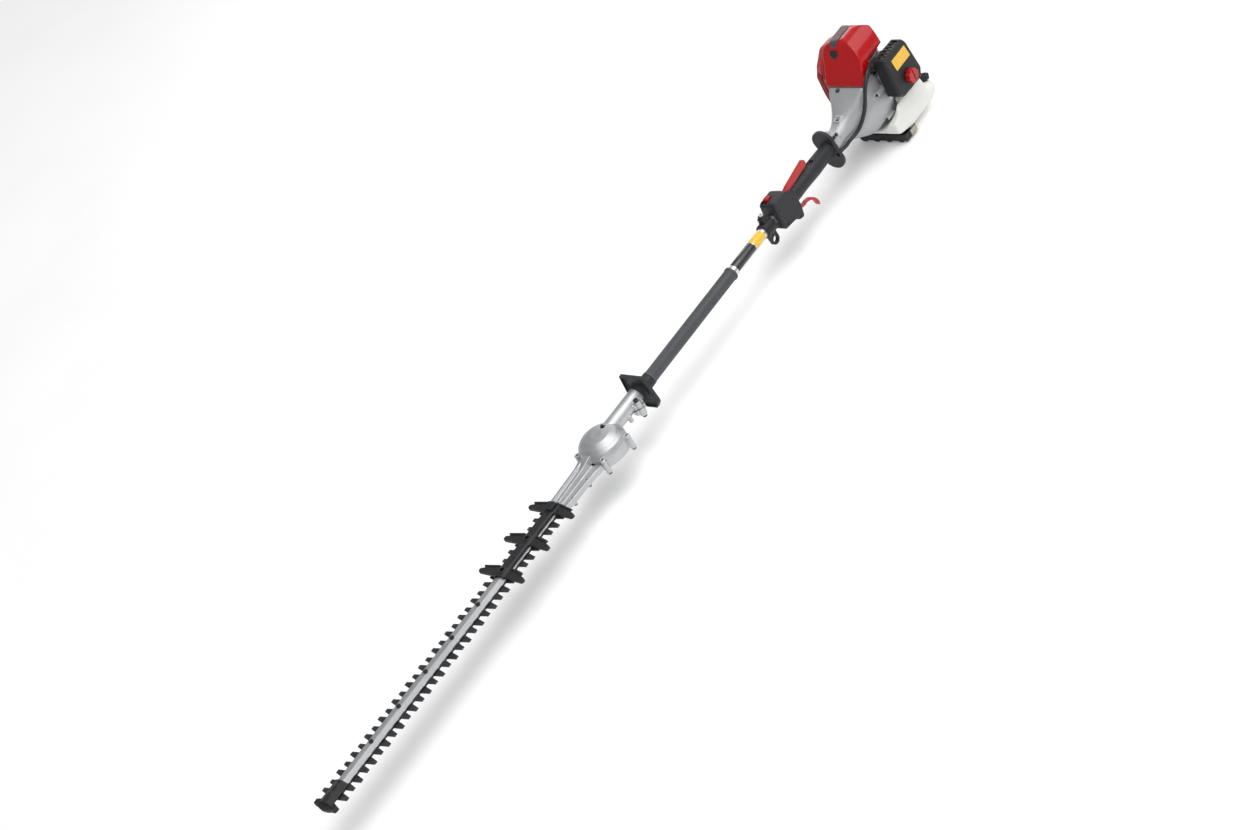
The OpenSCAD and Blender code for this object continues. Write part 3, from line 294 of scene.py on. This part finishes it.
def copy_of(node, name):
    me = bpy.data.meshes.new(name)
    bm = bmesh.new()
    bm.from_mesh(NODES[node].data)
    bmesh.ops.remove_doubles(bm, verts=bm.verts, dist=3e-6)
    bm.to_mesh(me)
    bm.free()
    return new_object(name, me)


def smooth_by_angle(o, degrees=35):
    bm = bmesh.new()
    bm.from_mesh(o.data)
    limit = math.radians(degrees)
    for f in bm.faces:
        f.smooth = True
    for e in bm.edges:
        e.smooth = not (len(e.link_faces) == 2 and e.calc_face_angle(0) > limit)
    bm.to_mesh(o.data)
    bm.free()
    return o


def place(o, slot, *nodes, body=None):
    """o takes a slot's finish, stands for nodes, and rides where they do."""
    o.data.materials.clear()
    o.data.materials.append(MATS[slot])
    if nodes:
        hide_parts(*nodes)
    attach(o, body or (BODY_OF[nodes[0]] if nodes else "body"))
    return o


def voxelise(o, voxel, rounds, factor=0.5):
    """Joins what overlaps in o into one skin and rounds its edges, as in a casting."""
    r = o.modifiers.new("voxels", "REMESH")
    r.mode, r.voxel_size, r.use_smooth_shade = "VOXEL", voxel, True
    if rounds:
        m = o.modifiers.new("fillets", "SMOOTH")
        m.factor, m.iterations = factor, rounds
    bake(o)
    for p in o.data.polygons:
        p.use_smooth = True
    return o


def soften(node, voxel=0.001, rounds=4, factor=0.5, name=None, extra=()):
    """The CAD shape as a casting or moulding has it, with small fillets along every edge."""
    o = copy_of(node, name or node + "_skin")
    if extra:
        join(o, *extra)
    voxelise(o, voxel, rounds, factor)
    return place(o, SLOT_OF[node], node)


def join(o, *others):
    """Adds the other objects' meshes to o."""
    bm = bmesh.new()
    bm.from_mesh(o.data)
    for x in others:
        bm.from_mesh(x.data)
        me = x.data
        bpy.data.objects.remove(x)
        bpy.data.meshes.remove(me)
    bm.to_mesh(o.data)
    bm.free()
    return o


def mm(*p):
    """A point in millimetres from the pole axis, in metres from the ground."""
    return Vector((p[0] / 1000, p[1] / 1000, p[2] / 1000 + AXIS_H))


def loft(name, rings, cap=True, loop=False):
    """A skin through rings of the same number of points."""
    n = len(rings[0])
    points = [p for ring in rings for p in ring]
    faces = []
    last = len(rings) if loop else len(rings) - 1
    for i in range(last):
        j = (i + 1) % len(rings)
        for k in range(n):
            m = (k + 1) % n
            faces.append((i * n + k, i * n + m, j * n + m, j * n + k))
    if cap and not loop:
        faces.append(tuple(reversed(range(n))))
        faces.append(tuple((len(rings) - 1) * n + k for k in range(n)))
    me = mesh_from(name, points, faces)
    bm = bmesh.new()
    bm.from_mesh(me)
    bmesh.ops.recalc_face_normals(bm, faces=bm.faces)
    bm.to_mesh(me)
    bm.free()
    return new_object(name, me)


def slab(name, outline, axis, lo, hi):
    """An outline in millimetres pulled along an axis: x takes (y, z), y takes (x, z), z takes (x, y)."""
    put = {
        "x": lambda a, b, t: mm(t, a, b),
        "y": lambda a, b, t: mm(a, t, b),
        "z": lambda a, b, t: mm(a, b, t),
    }[axis]
    return loft(name, [[put(a, b, t) for a, b in outline] for t in (lo, hi)])


def rod(name, a, b, r, sides=24):
    """A round bar between two points in millimetres."""
    a, b = mm(*a), mm(*b)
    d = (b - a).normalized()
    u = d.orthogonal().normalized()
    v = d.cross(u)
    turns = [2 * math.pi * k / sides for k in range(sides)]
    ring = [u * math.cos(turn) + v * math.sin(turn) for turn in turns]
    return loft(name, [[p + q * r / 1000 for q in ring] for p in (a, b)])


def arc(c, r, a0, a1, n):
    return [(c[0] + r * math.cos(math.radians(a0 + (a1 - a0) * i / n)),
             c[1] + r * math.sin(math.radians(a0 + (a1 - a0) * i / n))) for i in range(n + 1)]


def ease(table, x):
    """A smooth value between the points of a table."""
    xs, ys = [t[0] for t in table], [t[1] for t in table]
    if x <= xs[0]:
        return ys[0]
    if x >= xs[-1]:
        return ys[-1]
    i = max(k for k in range(len(xs) - 1) if xs[k] <= x)
    top = len(xs) - 1
    slope = [(ys[min(k + 1, top)] - ys[max(k - 1, 0)]) / (xs[min(k + 1, top)] - xs[max(k - 1, 0)])
             for k in range(len(xs))]
    h = xs[i + 1] - xs[i]
    t = (x - xs[i]) / h
    return ((2 * t ** 3 - 3 * t ** 2 + 1) * ys[i] + (t ** 3 - 2 * t ** 2 + t) * h * slope[i]
            + (3 * t ** 2 - 2 * t ** 3) * ys[i + 1] + (t ** 3 - t ** 2) * h * slope[i + 1])


def refine(node, width=0.0005, segments=2, angle=32, name=None, smooth=50):
    """The CAD shape with its sharp edges broken by a small round."""
    o = copy_of(node, name or node + "_fine")
    bm = bmesh.new()
    bm.from_mesh(o.data)
    bmesh.ops.dissolve_limit(bm, angle_limit=math.radians(0.6), verts=bm.verts, edges=bm.edges)
    bm.to_mesh(o.data)
    bm.free()
    b = o.modifiers.new("edges", "BEVEL")
    b.limit_method, b.angle_limit = "ANGLE", math.radians(angle)
    b.width, b.segments, b.profile = width, segments, 0.6
    b.use_clamp_overlap = True
    t = o.modifiers.new("tri", "TRIANGULATE")
    t.min_vertices = 5
    bake(o)
    smooth_by_angle(o, smooth)
    return place(o, SLOT_OF[node], node)


# ---- Throttle conduit ------------------------------------------------------

# From the mouth in the handle's flange to the carburettor, in millimetres from the pole axis
CONDUIT_ROUTE = [(178, 21.8, -12.4), (168, 21.8, -12.4), (160, 22.1, -13), (150, 22.5, -14), (138, 28, -9),
                 (121, 34.5, -5), (109, 41, 3), (94, 48, 19), (79, 49.5, 34), (74, 54, 49), (68, 58, 65),
                 (53, 58, 79), (34, 56, 89), (22, 54, 83.5), (13, 51, 76.5), (7, 50, 74), (2.6, 50, 74)]
CONDUIT_D = 0.0084


def through(points, steps):
    """A smooth line through the points, with that many steps in each stretch."""
    last = len(points) - 1
    line = []
    for i in range(last):
        a, b, c, d = points[max(i - 1, 0)], points[i], points[i + 1], points[min(i + 2, last)]
        for k in range(steps):
            u = k / steps
            line.append(0.5 * (2 * b + (c - a) * u + (2 * a - 5 * b + 4 * c - d) * u ** 2
                               + (3 * b - a - 3 * c + d) * u ** 3))
    return line + [points[-1]]


def tube_along(name, line, r, sides=28):
    """A round tube along the line, which doesn't twist as it turns."""
    rings = []
    across = None
    for i, at in enumerate(line):
        t = (line[min(i + 1, len(line) - 1)] - line[max(i - 1, 0)]).normalized()
        across = t.cross(Vector((0, 0, 1))) if across is None else across - t * across.dot(t)
        across.normalize()
        other = t.cross(across)
        turns = [2 * math.pi * k / sides for k in range(sides)]
        rings.append([at + (across * math.cos(a) + other * math.sin(a)) * r for a in turns])
    return smooth_by_angle(loft(name, rings), 50)


def throttle_conduit():
    line = through([mm(*p) for p in CONDUIT_ROUTE], 6)
    o = place(tube_along("throttle_conduit_tube", line, CONDUIT_D / 2), "conduit_plastic", "throttle_conduit")


throttle_conduit()


# ---- Clutch housing --------------------------------------------------------

def housing_skin():
    """The horn from the arch under the cover down to the clamp of the tube."""
    sides = 120
    front = [(62, 58.0), (72, 54.5), (84, 48.0), (98, 39.5), (112, 31.5), (126, 25.4), (138, 22.0),
             (147, 20.5)]

    def arch(a):
        """Distance of the arch from the axis, at angle a from straight up."""
        side, up = abs(math.sin(a)), math.cos(a)
        if up <= 0:
            return 58.0
        y_half, z_top, r = 47.0, 64.0, 9.0
        best = min(z_top / up if up > 1e-6 else 1e9, y_half / side if side > 1e-6 else 1e9)
        cy, cz = y_half - r, z_top - r
        along = cy * side + cz * up
        under = along * along - (cy * cy + cz * cz - r * r)
        if under > 0:
            reach = along + math.sqrt(under)
            y, z = reach * side, reach * up
            if y > cy and z > cz:
                best = min(best, reach)
        return max(58.0, best)

    rings = []

    def ring(x, f):
        out = []
        for k in range(sides):
            a = 2 * math.pi * k / sides
            r = f(a)
            out.append(mm(x, r * math.sin(a), r * math.cos(a)))
        rings.append(out)

    for x in (14, 15, 30, 45, 56, 59.5):
        ring(x, lambda a: arch(a) - (0.8 if x == 14 else 0))
    for i in range(29):
        x = 61 + i * 3.0
        keep = (1 - (x - 61) / 90) ** 3.0
        step = 1.0 if i == 0 else 0.0
        ring(x, lambda a: ease(front, x) + keep * (arch(a) - 58) - step)
    collar = [(148.4, 20.5), (149, 19.4), (150.4, 19.4), (151, 20.5), (160, 20.5), (169.3, 20.5),
              (170, 19.8)]
    bore = [(170, 16), (170, 12.2), (150, 12.2), (126, 12.2), (126, 8), (112, 8), (98, 8)]
    inside = [(98, 20), (98, 30), (91, 34), (76, 46), (66, 52), (59, 54.5), (40, 54.5), (20, 54.5),
              (14, 54.5)]
    for x, r in collar + bore + inside:
        ring(x, lambda a: r)
    o = loft("clutch_housing_skin", rings, cap=False, loop=True)
    parts = []
    for angle in (28, -35, 145, 215):
        c, q = math.cos(math.radians(angle)), math.sin(math.radians(angle))
        parts.append(rod("boss", (14.5, 60.5 * c, 60.5 * q), (40, 60.5 * c, 60.5 * q), 5.0))
        parts.append(rod("web", (15, 56 * c, 56 * q), (52, 55 * c, 55 * q), 4.0))
    for y0, y1 in ((-14, -1), (1, 14)):
        parts.append(slab("ear", [(y0, 14), (y1, 14), (y1, 25), (y0, 25)], "x", 151, 169.6))
    window_half, rim = 8.5, 3
    for x, top in ((112.5, 32.6), (124.5, 28.4)):
        outline = [(x, -window_half), (x + rim, -window_half), (x + rim, window_half), (x, window_half)]
        parts.append(slab("frame", outline, "z", 24, top))

    def rim_end(x, y, low, high):
        return [mm(x, y, low), mm(x, y + rim, low), mm(x, y + rim, high), mm(x, y, high)]

    for y in (-window_half, window_half - rim):
        parts.append(loft("frame", [rim_end(112.5, y, 24, 32.6), rim_end(127.5, y, 20, 27.4)]))
    join(o, *parts)
    voxelise(o, 0.0011, 3)
    return place(o, "housing_aluminium", "clutch_housing")


housing_skin()
# A black sheet laid in the window frame: painted shade standing in for the dark inside a recess, since the
# housing is not cut here
window_painted_shade = slab("housing_window_painted_shade", arc((120, 3.5), 1.5, 0, 90, 3) + arc((117, 3.5), 1.5, 90, 180, 3)
            + arc((117, -3.5), 1.5, 180, 270, 3) + arc((120, -3.5), 1.5, 270, 360, 3), "z", 24.5, 28.6)
place(window_painted_shade, "black_plastic", body="body")


# ---- Castings and mouldings ------------------------------------------------

soften("engine_cover", 0.0012, 24)
soften("cover_inset", 0.0009, 5)
soften("fuel_tank", 0.0018, 60)
for n in ("air_cleaner_cover", "muffler_guard"):
    soften(n, 0.0011, 16)
for n in ("engine_stand", "crankcase"):
    soften(n, 0.0011, 4)
for n in ("gearcase_upper", "gearcase_lower", "handle_left", "handle_right", "wing_guard", "hand_guard",
          "cleaner_knob", "fuel_cap", "harness_bracket", "cover_badge", "throttle_trigger",
          "lockout_lever", "stop_switch", "tip_guard", "air_cleaner_base", "cylinder", "starter_housing",
          "starter_handle", "plug_cap", "muffler"):
    soften(n, 0.0008, 4)
for n in ("upper_blade", "lower_blade"):
    refine(n, 0.0003, 2)
# The ridge of the roof-shaped bar stays crisp
refine("blade_bar", 0.0003, 2, smooth=12)
for n in ("bar_bolts", "gearcase_bolts", "grease_fitting", "housing_screws",
          "bracket_screw", "handle_screws", "front_sleeve", "main_tube", "label_yellow", "label_black"):
    refine(n, 0.0003, 2)


# ---- Floor and light -------------------------------------------------------

FLOOR_HALF = 90
corners = [(x * FLOOR_HALF, y * FLOOR_HALF, 0) for x, y in ((-1, -1), (1, -1), (1, 1), (-1, 1))]
floor = new_object("floor", mesh_from("floor", corners, [(0, 1, 2, 3)]))
m, t, b = node_tree("floor")
coords = t.nodes.new("ShaderNodeTexCoord").outputs["Object"]
patches = spread(t, noise(t, coords, 3.0), 0.3, 0.7, 0, 1)
pale = mix_colour(t, patches, (0.90, 0.90, 0.90), (0.93, 0.93, 0.93))
t.links.new(pale, b.inputs["Base Color"])
b.inputs["Roughness"].default_value = 0.9
b.inputs["Specular IOR Level"].default_value = 0.1
b.inputs["Emission Color"].default_value = (1, 1, 1, 1)
b.inputs["Emission Strength"].default_value = 0.12
floor.data.materials.append(m)
floor.location.z = -0.0005

world = bpy.data.worlds.new("world")
scene.world = world
world.use_nodes = True
world.node_tree.nodes["Background"].inputs["Color"].default_value = (1, 1, 1, 1)
world.node_tree.nodes["Background"].inputs["Strength"].default_value = 0.32


def softbox(name, at, towards, size, power):
    light = bpy.data.lights.new(name, "AREA")
    light.shape = "RECTANGLE"
    light.size, light.size_y = size
    light.energy = power
    o = bpy.data.objects.new(name, light)
    scene.collection.objects.link(o)
    o.location = at
    o.rotation_mode = "QUATERNION"
    o.rotation_quaternion = (Vector(towards) - Vector(at)).to_track_quat("-Z", "Y")


softbox("top", (0.6, 0.9, 2.6), (0.7, 0, 0), (2.6, 1.2), 26)
softbox("side", (3.2, 2.6, 1.6), (0.7, 0, 0.1), (1.6, 1.4), 12)
softbox("back", (-1.8, -2.2, 1.5), (0.7, 0, 0.1), (1.8, 1.0), 14)

sun = bpy.data.objects.new("sun", bpy.data.lights.new("sun", "SUN"))
scene.collection.objects.link(sun)
sun.data.energy = 1.7
sun.data.angle = math.radians(70)
sun.rotation_euler = (math.radians(-22), math.radians(-18), 0)

scene.view_settings.view_transform = "Standard"
scene.view_settings.look = "None"
